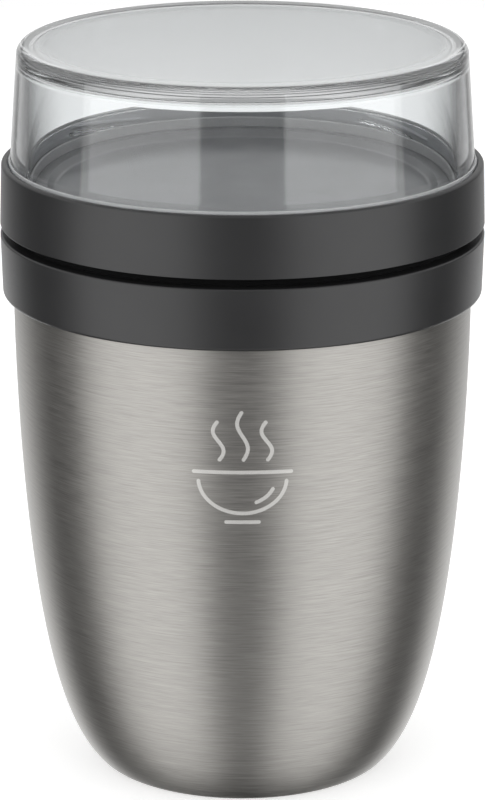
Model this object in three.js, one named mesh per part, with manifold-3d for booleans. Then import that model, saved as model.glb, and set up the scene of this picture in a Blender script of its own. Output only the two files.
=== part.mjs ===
// An insulated lunch pot: a double-walled steel vessel with a screw lid, and a clear cup that
// screws upside down on the lid as a second compartment. Millimetres, +Z up, the origin on the
// table under the pot's axis. Every piece is turned about that axis.

import * as THREE from 'three';
import Module from 'manifold-3d';
import { mergeVertices } from 'three/addons/utils/BufferGeometryUtils.js';

// Clearances
const CLEAR = 0.3; // between pieces that sit in or over each other
const THREAD_ROOM = 1.1; // between a threaded wall and the wall it screws into
const PLUG_ROOM = 1.7; // round the lid's plug in the mouth of the liner

// Steel vessel
const BODY_RADIUS = 50.7; // outer wall just under the collar
const BODY_HEIGHT = 109.1; // from the table to the underside of the collar
const FOOT_RADIUS = 32.3; // where the curved wall would meet the table
const FOOT_WIDTH = 4; // from there in to the foot ring's inner edge
const FOOT_ROUND = 1.4; // bend between the foot ring and the wall
const SIDE_POWER = 5.82; // squareness of the wall's curve at the side
const FOOT_POWER = 1.73; // squareness of the same curve towards the foot
const STEEL = 0.6; // sheet of both walls and the base
const VACUUM = 3.2; // evacuated gap between the two walls
const SHOULDER_RISE = 3.4; // the shoulder's height above the underside of the collar
const SHOULDER_ROUND = 1.4;
const NECK_RISE = 5.9; // the steel lip's height above the collar's ledge
const LIP_OVERLAP = 0.9; // how far the liner's rolled lip reaches past the steel neck's gap

// Base of the vessel
const FOOT_RECESS = 2; // the cover disc's height above the table
const DISC_THICKNESS = 0.5;
const DISC_DIMPLE = 0.2; // shallow rise in the middle of the cover disc
const DISC_DIMPLE_RADIUS = 9;
const BASE_SLOPE = 1.5; // run of the base plate's step up from the foot ring
const BASE_LAP = 0.7; // the foot ring that shows inside the base plate's step
const PUMP_HOLE_RADIUS = 1;
const PUMP_DIMPLE_RADIUS = 4;
const PUMP_DIMPLE_DEPTH = 1.4;
const PUMP_DIMPLE_SLOPE = 0.8;
const BEAD_RADIUS = 3;
const BEAD_HEIGHT = 1;
const GETTER_RADIUS = 4;
const GETTER_HEIGHT = 2;
const GETTER_OFFSET = 14; // from the axis
const BASE_GAP = 4.2; // between the base plate and the liner's floor
const FLOOR_BEND = 9; // bend between the liner's floor and its wall

// Collar
const COLLAR_HEIGHT = 13.6;
const COLLAR_WALL = 2.45;
const COLLAR_WEB = 2.4; // thickness of the ledge between the skirt and the neck
const NECK_WALL = 2.1;
const COLLAR_GASKET_HEIGHT = 1.2;
const COLLAR_GASKET_WIDTH = 0.8;
const COLLAR_RIBS = 12;
const COLLAR_RIB = 1.4; // thickness of a rib
const RING_DRAFT = 0.4; // both dark rings narrow by this, away from the gap between them
const RING_EDGE = 0.8; // rounding of the rings' edges

// Lid
const RING_GAP = 2.1; // between the collar and the lid
const LID_HEIGHT = 13.6;
const LID_FLOOR = 1.9; // thickness of the tray floor
const LIP_WIDTH = 1.3; // top of the lid's lip
const TRAY_DEPTH = 1.4; // the tray floor lies this far below the tray's rim
const TRAY_RIM = 3.1; // width of the tray's rim
const TRAY_SLOPE = 1.5; // run of the slope from the rim to the floor
const CHANNEL_RISE = 0.8; // the gasket channel's height above the tray floor
const POT_GASKET_HEIGHT = 1.6;
const POT_GASKET_LAP = 0.4; // the gasket reaches past the steel lip
const PLUG_DEPTH = 9;
const PLUG_WALL = 1.6;
const PLUG_EDGE = 1.5;
const PLUG_BEAD = 0.8; // ridge that keeps the gasket on the plug
const PLUG_BEAD_HEIGHT = 1.2;

// Clear cup
const CUP_HEIGHT = 30.5; // from its rim to its closed top
const CUP_WALL = 3.4;
const CUP_TOP = 3.6; // thickness of the closed top
const CUP_TAPER = 1.8; // the outside narrows by this towards the top
const CUP_BORE_TAPER = 1.5; // and the inside by this
const CUP_EDGE = 2.3;
const CUP_BORE_EDGE = 1.5;
const CUP_FLANGE = 0.35; // the stop flange stands this far out of the wall
const CUP_FLANGE_HEIGHT = 0.8;
const CUP_FLANGE_SINK = 0.3; // and this far down inside the lid's lip
const DOME_GASKET_HEIGHT = 1.2;
const DOME_GASKET_LEG = 0.7;
const DOME_GASKET_RISE = 1.5; // the leg's height inside the cup

// Steps of the round stretches
const TURN_STEPS = 40;
const BODY_STEPS = 10;
const FOOT_CROWDING = 1.4; // above 1, the body's steps crowd towards the foot
const BEND_STEPS = 3;
const ARC_STEP = 1; // a rounded corner has one step, and one more for each of these in its radius

// Radii, from the steel body inwards and back out to the rings
const linerOuter = BODY_RADIUS - STEEL - VACUUM;
const linerInner = linerOuter - STEEL;
const neckOuter = linerOuter + CLEAR + STEEL;
const collarBore = neckOuter + CLEAR;
const lipRadius = collarBore + LIP_OVERLAP;
const neckRadius = collarBore + NECK_WALL;
const skirtBore = BODY_RADIUS + CLEAR;
const ringRadius = skirtBore + COLLAR_WALL;
const lidBore = neckRadius + THREAD_ROOM;
const lipBore = ringRadius - RING_DRAFT - LIP_WIDTH;
const cupFlangeRadius = lipBore - CLEAR;
const cupRadius = cupFlangeRadius - CUP_FLANGE;
const cupThreadRadius = lipBore - THREAD_ROOM;
const cupBore = cupRadius - CUP_WALL;
const plugRadius = linerInner - PLUG_ROOM;
const footInner = FOOT_RADIUS - FOOT_WIDTH;

// Heights, from the table up
const basePan = FOOT_RECESS + DISC_THICKNESS;
const linerFloor = basePan + STEEL + BASE_GAP;
const shoulder = BODY_HEIGHT + SHOULDER_RISE;
const collarTop = BODY_HEIGHT + COLLAR_HEIGHT;
const collarWeb = collarTop - COLLAR_WEB;
const mouth = collarTop + NECK_RISE;
const lipUnderside = mouth - STEEL;
const lidBottom = collarTop + RING_GAP;
const lidTop = lidBottom + LID_HEIGHT;
const lidUnderside = mouth + POT_GASKET_HEIGHT;
const trayFloor = lidUnderside + LID_FLOOR;
const trayRim = trayFloor + TRAY_DEPTH;
const channel = trayFloor + CHANNEL_RISE;
const cupRim = channel + DOME_GASKET_HEIGHT;
const cupTop = cupRim + CUP_HEIGHT;
const cupCeiling = cupTop - CUP_TOP;
const plugBottom = lidUnderside - PLUG_DEPTH;

const at = (radius, height) => new THREE.Vector2(radius, height);

// Replaces each corner [radius, height, rounding] by an arc, no longer than half of either side.
function rounded(corners) {
  return corners.flatMap(([radius, height, rounding = 0], i) => {
    const corner = at(radius, height);
    if (rounding === 0) return [corner];
    const before = at(...corners.at(i - 1)).sub(corner);
    const after = at(...corners[(i + 1) % corners.length]).sub(corner);
    const halfAngle = Math.acos(before.dot(after) / before.length() / after.length()) / 2;
    const longest = Math.min(before.length(), after.length()) / 2;
    const reach = Math.min(rounding / Math.tan(halfAngle), longest);
    const start = before.setLength(reach).add(corner);
    const end = after.setLength(reach).add(corner);
    const middle = start.clone().add(end).multiplyScalar(0.5).sub(corner);
    const centre = middle.setLength(reach / Math.cos(halfAngle)).add(corner);
    const arm = start.clone().sub(centre);
    const sweep = Math.sign(arm.cross(end.clone().sub(centre))) * (Math.PI - 2 * halfAngle);
    const steps = Math.ceil(1 + rounding / ARC_STEP);
    return Array.from({ length: steps + 1 }, (_, step) =>
      arm.clone().rotateAround(at(0, 0), (sweep * step) / steps).add(centre));
  });
}

// A line shifted to its left, with mitred corners.
function offsetLeft(line, distance) {
  const leftOf = (from, to) => at(from.y - to.y, to.x - from.x).normalize();
  return line.map((point, i) => {
    const first = Math.max(i, 1);
    const last = Math.min(i + 1, line.length - 1);
    const normal = leftOf(line[first - 1], line[first]);
    const mitre = normal.clone().add(leftOf(line[last - 1], line[last])).normalize();
    return point.clone().addScaledVector(mitre, distance / mitre.dot(normal));
  });
}

// The closed outline of a sheet that lies to the left of a line.
function sheet(line, thickness) {
  return [...line, ...offsetLeft(line, thickness).reverse()];
}

// Turns an outline about the axis. An outline that isn't on the axis closes on itself.
function turned(outline, steps = TURN_STEPS) {
  const onAxis = outline[0].x === 0;
  const profile = onAxis ? outline : [...outline, outline[0]];
  return new THREE.LatheGeometry(profile, steps).rotateX(Math.PI / 2);
}

// The body's outer curve, a superellipse from the foot up to the straight wall.
function bodyCurve() {
  const closing = (1 - (FOOT_RADIUS / BODY_RADIUS) ** SIDE_POWER) ** (1 / FOOT_POWER);
  const depth = BODY_HEIGHT / closing;
  const footAngle = Math.asin(closing ** (FOOT_POWER / 2));
  return Array.from({ length: BODY_STEPS + 1 }, (_, step) => {
    const angle = footAngle * (1 - (step / BODY_STEPS) ** FOOT_CROWDING);
    const radius = BODY_RADIUS * Math.cos(angle) ** (2 / SIDE_POWER);
    return at(radius, BODY_HEIGHT - depth * Math.sin(angle) ** (2 / FOOT_POWER));
  });
}

// The point of a rising line at a height.
function pointAt(line, height) {
  const upper = Math.max(1, line.findIndex((point) => point.y > height));
  const [below, above] = [line[upper - 1], line[upper]];
  return below.clone().lerp(above, (height - below.y) / (above.y - below.y));
}

// A flat stretch at one height that bends up into a rising line.
function bentUp(line, height, bend) {
  const corner = pointAt(line, height);
  const landing = pointAt(line, height + bend / 2);
  const curve = new THREE.QuadraticBezierCurve(at(corner.x - bend, height), corner, landing);
  return [...curve.getPoints(BEND_STEPS), ...line.filter((point) => point.y > landing.y)];
}

function outerShell() {
  const neck = [
    [BODY_RADIUS, BODY_HEIGHT],
    [BODY_RADIUS, shoulder, SHOULDER_ROUND],
    [neckOuter, shoulder, SHOULDER_ROUND],
    [neckOuter, lipUnderside],
  ];
  const wall = bentUp(bodyCurve(), 0, FOOT_ROUND);
  return turned(sheet([at(footInner, 0), ...wall, ...rounded(neck).slice(1)], STEEL));
}

function innerLiner() {
  const wall = bentUp(offsetLeft(bodyCurve(), STEEL + VACUUM), linerFloor, FLOOR_BEND);
  const lip = [
    [linerOuter, BODY_HEIGHT],
    [linerOuter, lipUnderside, CLEAR],
    [lipRadius, lipUnderside],
  ];
  return turned(sheet([at(0, linerFloor), ...wall, ...rounded(lip).slice(1)], STEEL));
}

function outerBase() {
  const step = footInner + BASE_LAP;
  const dimple = basePan + PUMP_DIMPLE_DEPTH;
  const underside = [
    at(PUMP_HOLE_RADIUS, dimple),
    at(PUMP_DIMPLE_RADIUS, dimple),
    at(PUMP_DIMPLE_RADIUS + PUMP_DIMPLE_SLOPE, basePan),
    at(step - BASE_SLOPE, basePan),
    at(step, STEEL),
    at(FOOT_RADIUS - FOOT_ROUND - CLEAR, STEEL),
  ];
  return turned(sheet(underside, STEEL));
}

function vacuumBead() {
  const top = basePan + PUMP_DIMPLE_DEPTH;
  const dome = new THREE.EllipseCurve(0, top, BEAD_RADIUS, BEAD_HEIGHT, -Math.PI / 2, 0);
  const [, ...rest] = dome.getPoints(2 * BEND_STEPS);
  return turned([at(0, top - BEAD_HEIGHT), ...rest, at(0, top)], TURN_STEPS / 2);
}

function baseDisc() {
  const radius = footInner + BASE_LAP - BASE_SLOPE - CLEAR;
  return turned(rounded([
    [0, FOOT_RECESS + DISC_DIMPLE],
    [DISC_DIMPLE_RADIUS, FOOT_RECESS + DISC_DIMPLE],
    [DISC_DIMPLE_RADIUS + DISC_DIMPLE, FOOT_RECESS],
    [radius, FOOT_RECESS],
    [radius, basePan],
    [0, basePan],
  ]));
}

function getter() {
  const pill = new THREE.CylinderGeometry(GETTER_RADIUS, GETTER_RADIUS, GETTER_HEIGHT, TURN_STEPS / 2);
  return pill.rotateX(Math.PI / 2);
}

// The collar's skirt hides a pocket over the steel's shoulder, with ribs across it.
function neckCollar() {
  const gasketSeat = lipUnderside - COLLAR_GASKET_HEIGHT;
  const gasketWall = collarBore + COLLAR_GASKET_WIDTH + CLEAR;
  const ring = turned(rounded([
    [skirtBore, BODY_HEIGHT],
    [ringRadius - RING_DRAFT, BODY_HEIGHT, RING_EDGE],
    [ringRadius, collarTop, RING_EDGE],
    [neckRadius, collarTop],
    [neckRadius, lipUnderside, RING_EDGE],
    [gasketWall, lipUnderside],
    [gasketWall, gasketSeat],
    [collarBore, gasketSeat],
    [collarBore, collarWeb],
    [skirtBore, collarWeb],
  ]));
  const sunk = COLLAR_WEB / 2; // how far a rib runs into the skirt and the web
  const ribFoot = shoulder + CLEAR;
  const ribTop = collarWeb + sunk;
  const ribInner = neckOuter + SHOULDER_ROUND + CLEAR; // past the bend of the steel's neck
  const ribReach = skirtBore + COLLAR_WALL / 2 - ribInner;
  let solid = solidOf(ring);
  for (let i = 0; i < COLLAR_RIBS; i += 1) {
    const rib = new THREE.BoxGeometry(ribReach, COLLAR_RIB, ribTop - ribFoot);
    rib.translate(ribInner + ribReach / 2, 0, (ribFoot + ribTop) / 2);
    rib.rotateZ(((i + 0.5) * 2 * Math.PI) / COLLAR_RIBS);
    solid = solid.add(solidOf(rib));
  }
  return geometryOf(solid);
}

function collarGasket() {
  const outer = collarBore + COLLAR_GASKET_WIDTH;
  return turned(rounded([
    [collarBore, lipUnderside - COLLAR_GASKET_HEIGHT],
    [outer, lipUnderside - COLLAR_GASKET_HEIGHT],
    [outer, lipUnderside],
    [collarBore, lipUnderside],
  ]));
}

function lidShell() {
  const rimOuter = domeGasketInner() - CLEAR;
  const rimInner = rimOuter - TRAY_RIM;
  return turned(rounded([
    [0, lidUnderside],
    [lidBore, lidUnderside],
    [lidBore, lidBottom],
    [ringRadius, lidBottom, RING_EDGE / 2],
    [ringRadius - RING_DRAFT, lidTop, RING_EDGE],
    [lipBore, lidTop, RING_EDGE / 4],
    [lipBore, channel],
    [rimOuter, channel],
    [rimOuter, trayRim],
    [rimInner, trayRim],
    [rimInner - TRAY_SLOPE, trayFloor, TRAY_DEPTH],
    [0, trayFloor],
  ]));
}

function lidUnderplate() {
  const beadTop = mouth - CLEAR;
  const bead = plugRadius + PLUG_BEAD;
  const bore = plugRadius - PLUG_WALL;
  return turned(rounded([
    [0, plugBottom],
    [plugRadius, plugBottom, PLUG_EDGE],
    [plugRadius, beadTop - PLUG_BEAD_HEIGHT],
    [bead, beadTop - PLUG_BEAD_HEIGHT / 2],
    [bead, beadTop],
    [plugRadius, beadTop],
    [plugRadius, lidUnderside],
    [bore, lidUnderside],
    [bore, plugBottom + PLUG_WALL],
    [0, plugBottom + PLUG_WALL],
  ]));
}

function insulationDisc() {
  const radius = plugRadius - PLUG_WALL - CLEAR;
  return turned(rounded([
    [0, plugBottom + PLUG_WALL],
    [radius, plugBottom + PLUG_WALL],
    [radius, lidUnderside],
    [0, lidUnderside],
  ]));
}

function potGasket() {
  const inner = plugRadius + CLEAR;
  const outer = lipRadius + POT_GASKET_LAP;
  return turned(rounded([
    [inner, mouth],
    [outer, mouth],
    [outer, lidUnderside],
    [inner, lidUnderside],
  ]));
}

// The cup's inside radius at a height.
function cupBoreAt(height) {
  return cupBore - (CUP_BORE_TAPER * (height - cupRim)) / (cupCeiling - cupRim);
}

function domeGasketOuter() {
  return cupBoreAt(cupRim + DOME_GASKET_RISE) - CLEAR;
}

function domeGasketInner() {
  return domeGasketOuter() - DOME_GASKET_LEG;
}

function domeGasket() {
  const legTop = cupRim + DOME_GASKET_RISE;
  const baseOuter = cupThreadRadius - CLEAR;
  return turned(rounded([
    [domeGasketInner(), channel],
    [baseOuter, channel],
    [baseOuter, cupRim],
    [domeGasketOuter(), cupRim],
    [domeGasketOuter(), legTop],
    [domeGasketInner(), legTop],
  ]));
}

function clearCup() {
  const flangeBottom = lidTop - CUP_FLANGE_SINK;
  const flangeTop = flangeBottom + CUP_FLANGE_HEIGHT;
  return turned(rounded([
    [0, cupCeiling],
    [cupBoreAt(cupCeiling), cupCeiling, CUP_BORE_EDGE],
    [cupBore, cupRim],
    [cupThreadRadius, cupRim],
    [cupThreadRadius, flangeBottom],
    [cupFlangeRadius, flangeBottom],
    [cupFlangeRadius, flangeTop],
    [cupRadius, flangeTop],
    [cupRadius - CUP_TAPER, cupTop, CUP_EDGE],
    [0, cupTop],
  ]));
}

const wasm = await Module();
wasm.setup();

function solidOf(geometry) {
  geometry.deleteAttribute('normal');
  geometry.deleteAttribute('uv');
  const merged = mergeVertices(geometry);
  const vertProperties = new Float32Array(merged.attributes.position.array);
  const triVerts = new Uint32Array(merged.index.array);
  return new wasm.Manifold(new wasm.Mesh({ numProp: 3, vertProperties, triVerts }));
}

function geometryOf(solid) {
  const mesh = solid.getMesh();
  const geometry = new THREE.BufferGeometry();
  geometry.setAttribute('position', new THREE.BufferAttribute(mesh.vertProperties, mesh.numProp));
  geometry.setIndex(new THREE.BufferAttribute(mesh.triVerts, 1));
  return geometry;
}

const brushedSteel = { color: 0xb7b4ae, roughness: 0.35, metalness: 1 };
const satinSteel = { color: 0xb4b2ad, roughness: 0.45, metalness: 1 };
const darkPlastic = { color: 0x3b3c3e, roughness: 0.5, metalness: 0 };
const clearPlastic = { color: 0xe6eced, roughness: 0.08, metalness: 0, transparent: true, opacity: 0.35 };
const silicone = { color: 0x56585a, roughness: 0.7, metalness: 0 };
const foam = { color: 0xe4e2da, roughness: 0.95, metalness: 0 };
const getterMetal = { color: 0x857a70, roughness: 0.8, metalness: 1 };
const solder = { color: 0x6f7375, roughness: 0.3, metalness: 0 };

function piece(name, geometry, finish) {
  const mesh = new THREE.Mesh(geometry, new THREE.MeshStandardMaterial(finish));
  mesh.name = name;
  return mesh;
}

const getterPill = piece('getter', getter(), getterMetal);
getterPill.position.set(GETTER_OFFSET, 0, basePan + STEEL + GETTER_HEIGHT / 2);

const vessel = new THREE.Group().add(
  piece('outer_shell', outerShell(), brushedSteel),
  piece('inner_liner', innerLiner(), satinSteel),
  piece('outer_base', outerBase(), satinSteel),
  piece('vacuum_bead', vacuumBead(), solder),
  piece('base_disc', baseDisc(), brushedSteel),
  getterPill,
  piece('neck_collar', neckCollar(), darkPlastic),
  piece('collar_gasket', collarGasket(), silicone),
);

const lid = new THREE.Group().add(
  piece('lid_shell', lidShell(), darkPlastic),
  piece('lid_underplate', lidUnderplate(), darkPlastic),
  piece('insulation_disc', insulationDisc(), foam),
  piece('pot_gasket', potGasket(), silicone),
);

const cup = new THREE.Group().add(
  piece('clear_cup', clearCup(), clearPlastic),
  piece('dome_gasket', domeGasket(), silicone),
);

export default new THREE.Group().add(vessel, lid, cup);
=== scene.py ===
import math

import bpy
from mathutils import Matrix, Vector


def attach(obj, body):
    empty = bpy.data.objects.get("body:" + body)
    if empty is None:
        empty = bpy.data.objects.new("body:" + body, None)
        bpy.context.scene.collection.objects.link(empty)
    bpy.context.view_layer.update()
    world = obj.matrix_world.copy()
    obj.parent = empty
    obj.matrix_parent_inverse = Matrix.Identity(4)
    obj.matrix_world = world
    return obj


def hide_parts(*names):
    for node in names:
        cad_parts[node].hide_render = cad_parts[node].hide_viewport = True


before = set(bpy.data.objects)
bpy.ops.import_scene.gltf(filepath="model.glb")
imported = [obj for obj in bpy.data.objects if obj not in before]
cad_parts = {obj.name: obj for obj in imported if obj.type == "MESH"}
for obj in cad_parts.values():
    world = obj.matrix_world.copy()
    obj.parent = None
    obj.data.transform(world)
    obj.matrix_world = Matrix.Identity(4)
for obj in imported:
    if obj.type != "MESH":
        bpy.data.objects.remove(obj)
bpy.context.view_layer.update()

# Steel vessel, outer wall
# Deep-drawn stainless sheet, spun to a superellipse that runs from the foot ring up to the collar.
# The neck above the shoulder is hidden by the collar; the outside is brushed round the axis.

MM = 0.001
SHEET = 0.6
WALL_RADIUS = 50.7
WALL_HEIGHT = 109.1
FOOT_RADIUS = 32.3
SIDE_POWER = 5.82
FOOT_POWER = 1.73
FOOT_INNER = 28.3
FOOT_BEND = 1.6
FOOT_OVERRUN = 1.03  # the wall's curve runs on by this factor, into the bend of the foot ring
SHOULDER = 112.5
SHOULDER_ROUND = 1.4
STEEL_NECK = 47.8
LIP_UNDERSIDE = 128.0
STREAK_DARK = 0.268, 0.26, 0.247
STREAK_LIGHT = 0.432, 0.419, 0.397
WALL_ROWS = 56
FOOT_CROWDING = 1.4  # above 1, the wall's rows crowd towards the foot
VESSEL_STEPS = 256
ARC_STEPS = 7
HOLDING = 0.06  # short straight stretch at both ends of an arc, which keeps flats evenly shaded
SHARPEST = math.radians(28)  # edges that bend by more stay sharp
OFF_WALL = -1.0  # mark of the points that don't follow the wall's rule
LEAST_ANGLE = 0.0001  # keeps the rule off its own poles
WELD = 0.002  # points closer than this are joined
CREST_FLAT = 0.35  # share of a ridge's half width that is flat
FADE_START = 0.8  # share of a ridge's half length after which it fades
GRAIN_LOW = 0.3  # most of a noise lies between these two
GRAIN_HIGH = 0.7


def wired(tree, kind, *inputs, **settings):
    """Adds a node to a tree, and sets or links its inputs in their order."""
    node = tree.nodes.new(kind)
    for name, value in settings.items():
        setattr(node, name, value)
    for socket, value in zip(node.inputs, inputs):
        if isinstance(value, bpy.types.NodeSocket):
            tree.links.new(value, socket)
        elif value is not None:
            socket.default_value = value
    return node.outputs


def sums(tree):
    """A short way to write arithmetic in a tree: sums(tree)("ADD", a, b)."""
    return lambda operation, *values: wired(tree, "ShaderNodeMath", *values, operation=operation)[0]


def spread(tree, value, low, high, start=GRAIN_LOW, end=GRAIN_HIGH):
    """Maps a value between start and end, such as a grain, to a range from low to high."""
    return wired(tree, "ShaderNodeMapRange", value, start, end, low, high)[0]


def eased(tree, value, low, high, start, end):
    """Maps a value as spread does, with soft ends."""
    mapped = spread(tree, value, low, high, start, end)
    mapped.node.interpolation_type = "SMOOTHSTEP"
    return mapped


def rule_tree(name, **inputs):
    """An empty Geometry Nodes tree with these named inputs, and its input sockets by name."""
    tree = bpy.data.node_groups.new(name, "GeometryNodeTree")
    for label, kind in inputs.items():
        tree.interface.new_socket(label, in_out="INPUT", socket_type="NodeSocket" + kind)
    tree.interface.new_socket("Geometry", in_out="OUTPUT", socket_type="NodeSocketGeometry")
    return tree, {socket.name: socket for socket in wired(tree, "NodeGroupInput")}


def close_tree(tree, geometry, finish):
    """Ends a tree: instances made real, the finish set, and the result put out."""
    real = wired(tree, "GeometryNodeRealizeInstances", geometry)[0]
    finished = wired(tree, "GeometryNodeSetMaterial", real, None, finish)[0]
    wired(tree, "NodeGroupOutput", finished)
    return tree


def turning_tree():
    """Turns an outline about the axis. Outline points marked as threaded grow moulded ridges."""
    tree, given = rule_tree(
        "turned_about_the_axis", Outline="Geometry", Steps="Int", Starts="Float", Lead="Float",
        Ridge_Start="Float", Ridge_Angle="Float", Ridge_Arc="Float", Ridge_Width="Float",
        Ridge_Crest="Float", Finish="Material")
    math_of = sums(tree)
    outline = given["Outline"]
    count = wired(tree, "GeometryNodeAttributeDomainSize", outline)[0]
    columns = math_of("ADD", given["Steps"], 1.0)
    grid = wired(tree, "GeometryNodeMeshGrid", 1.0, 1.0, columns, count)[0]
    index = wired(tree, "GeometryNodeInputIndex")[0]
    column = math_of("FLOOR", math_of("DIVIDE", math_of("ADD", index, 0.5), count))
    row = math_of("SUBTRACT", index, math_of("MULTIPLY", column, count))
    place = wired(tree, "GeometryNodeInputPosition")[0]
    point = wired(tree, "GeometryNodeSampleIndex", outline, place, row, data_type="FLOAT_VECTOR")[0]
    radius, _, height = wired(tree, "ShaderNodeSeparateXYZ", point)
    marked = wired(tree, "GeometryNodeInputNamedAttribute", "threaded")[0]
    threaded = wired(tree, "GeometryNodeSampleIndex", outline, marked, row)[0]
    turn = math_of("DIVIDE", column, given["Steps"])
    # Each start covers an equal share of the turn; the ridge climbs a part of it and fades at its ends.
    share = math_of("DIVIDE", 1.0, given["Starts"])
    along = math_of("WRAP", math_of("SUBTRACT", turn, given["Ridge_Angle"]), share, 0.0)
    middle = math_of("ADD", given["Ridge_Start"], math_of("MULTIPLY", along, given["Lead"]))
    off = math_of("ABSOLUTE", math_of("SUBTRACT", height, middle))
    flank = math_of("DIVIDE", off, math_of("MULTIPLY", given["Ridge_Width"], 0.5))
    crest = eased(tree, flank, 1.0, 0.0, CREST_FLAT, 1.0)
    done = math_of("DIVIDE", along, given["Ridge_Arc"])
    from_middle = math_of("ABSOLUTE", math_of("SUBTRACT", math_of("MULTIPLY", done, 2.0), 1.0))
    fade = eased(tree, from_middle, 1.0, 0.0, FADE_START, 1.0)
    tallest = math_of("MULTIPLY", threaded, given["Ridge_Crest"])
    ridge = math_of("MULTIPLY", math_of("MULTIPLY", crest, fade), tallest)
    reach = math_of("ADD", radius, ridge)
    angle = math_of("MULTIPLY", turn, math.tau)
    across = math_of("MULTIPLY", reach, math_of("COSINE", angle))
    deep = math_of("MULTIPLY", reach, math_of("SINE", angle))
    spot = wired(tree, "ShaderNodeCombineXYZ", across, deep, height)[0]
    placed = wired(tree, "GeometryNodeSetPosition", grid, None, spot)[0]
    merged = wired(tree, "GeometryNodeMergeByDistance", placed, None, WELD * MM)[0]
    smooth = wired(tree, "GeometryNodeSetShadeSmooth", merged)[0]
    return close_tree(tree, smooth, given["Finish"])


def vessel_tree(turning):
    """A vessel wall by its rule: points marked on_wall go to the superellipse, the rest stay."""
    tree, given = rule_tree(
        "vessel_wall", Outline="Geometry", Radius="Float", Foot="Float", Height="Float",
        Side_Power="Float", Foot_Power="Float", Overrun="Float", Inset="Float", Floor="Float",
        Floor_Bend="Float", Steps="Int", Finish="Material")
    math_of = sums(tree)
    side = math_of("DIVIDE", 2.0, given["Side_Power"])
    foot = math_of("DIVIDE", 2.0, given["Foot_Power"])
    narrow = math_of("POWER", math_of("DIVIDE", given["Foot"], given["Radius"]), given["Side_Power"])
    closing = math_of("POWER", math_of("SUBTRACT", 1.0, narrow), math_of("MULTIPLY", foot, 0.5))
    depth = math_of("DIVIDE", given["Height"], closing)
    foot_angle = math_of("ARCSINE", math_of("POWER", closing, math_of("DIVIDE", 1.0, foot)))
    on_wall = wired(tree, "GeometryNodeInputNamedAttribute", "on_wall")[0]
    whole = math_of("MULTIPLY", foot_angle, given["Overrun"])
    downward = math_of("MULTIPLY", whole, math_of("SUBTRACT", 1.0, on_wall))
    angle = math_of("MAXIMUM", downward, LEAST_ANGLE)
    cosine = math_of("COSINE", angle)
    sine = math_of("SINE", angle)
    radius = math_of("MULTIPLY", given["Radius"], math_of("POWER", cosine, side))
    drop = math_of("MULTIPLY", depth, math_of("POWER", sine, foot))
    height = math_of("SUBTRACT", given["Height"], drop)
    # The wall's direction, for the liner that lies at a constant distance inside it.
    out = math_of("MULTIPLY", math_of("MULTIPLY", radius, side), math_of("DIVIDE", sine, cosine))
    up = math_of("MULTIPLY", math_of("MULTIPLY", drop, foot), math_of("DIVIDE", cosine, sine))
    length = math_of("SQRT", math_of("ADD", math_of("MULTIPLY", out, out), math_of("MULTIPLY", up, up)))
    inset = math_of("DIVIDE", given["Inset"], length)
    inner_radius = math_of("SUBTRACT", radius, math_of("MULTIPLY", inset, up))
    inner_height = math_of("ADD", height, math_of("MULTIPLY", inset, out))
    bent_up = math_of("SMOOTH_MAX", inner_height, given["Floor"], given["Floor_Bend"])
    chosen = wired(tree, "FunctionNodeCompare", on_wall, OFF_WALL / 2, operation="GREATER_THAN")[0]
    spot = wired(tree, "ShaderNodeCombineXYZ", inner_radius, 0.0, bent_up)[0]
    profile = wired(tree, "GeometryNodeSetPosition", given["Outline"], chosen, spot)[0]
    turned = wired(tree, "GeometryNodeGroup", node_tree=turning)[0]
    inputs = turned.node.inputs
    tree.links.new(profile, inputs["Outline"])
    tree.links.new(given["Steps"], inputs["Steps"])
    for label in ("Starts", "Ridge_Width", "Ridge_Arc"):
        inputs[label].default_value = 1.0
    return close_tree(tree, turned, given["Finish"])


def rounded(corners):
    """Outline points in millimetres, with an arc for each corner (radius, height, rounding)."""
    points = []
    for i, (radius, height, *rounding) in enumerate(corners):
        here = Vector((radius, height))
        if not rounding:
            points.append(here)
            continue
        back = Vector(corners[i - 1][:2]) - here
        ahead = Vector(corners[(i + 1) % len(corners)][:2]) - here
        half = back.angle(ahead) / 2
        longest = min(back.length, ahead.length) / 2
        reach = min(rounding[0] / math.tan(half), longest - HOLDING / 2)
        held = min(reach + HOLDING, longest - HOLDING / 4)
        arm = reach * math.tan(half)
        back.normalize()
        ahead.normalize()
        centre = here + (back + ahead).normalized() * arm / math.sin(half)
        first = here + back * reach - centre
        turn = math.copysign(math.pi - 2 * half, back.x * ahead.y - back.y * ahead.x)
        points.append(here + back * held)
        for step in range(ARC_STEPS + 1):
            points.append(centre + Matrix.Rotation(turn * -step / ARC_STEPS, 2) @ first)
        points.append(here + ahead * held)
    return points


def line_object(name, points, edges):
    """An object that is only points, in metres, and the edges between them."""
    mesh = bpy.data.meshes.new(name)
    mesh.from_pydata(points, edges, [])
    piece = bpy.data.objects.new(name, mesh)
    bpy.context.scene.collection.objects.link(piece)
    return piece


def outline_object(name, points, closed, **marks):
    """An outline in the plane of the axis, from millimetres, with numbers marked on its points."""
    line = [Vector((radius * MM, 0, height * MM)) for radius, height in points]
    if closed:
        line.append(line[0])
    piece = line_object(name, line, [(i, i + 1) for i in range(len(line) - 1)])
    for mark, values in marks.items():
        layer = piece.data.attributes.new(mark, "FLOAT", "POINT")
        layer.data.foreach_set("value", (list(values) + [values[0]])[:len(line)])
    return piece


def fit_rule(piece, tree, **values):
    """Puts a tree on a piece and sets the tree's named inputs."""
    modifier = piece.modifiers.new(tree.name, "NODES")
    modifier.node_group = tree
    for item in tree.interface.items_tree:
        if item.in_out == "INPUT" and item.name in values:
            modifier[item.identifier] = values[item.name]


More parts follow.
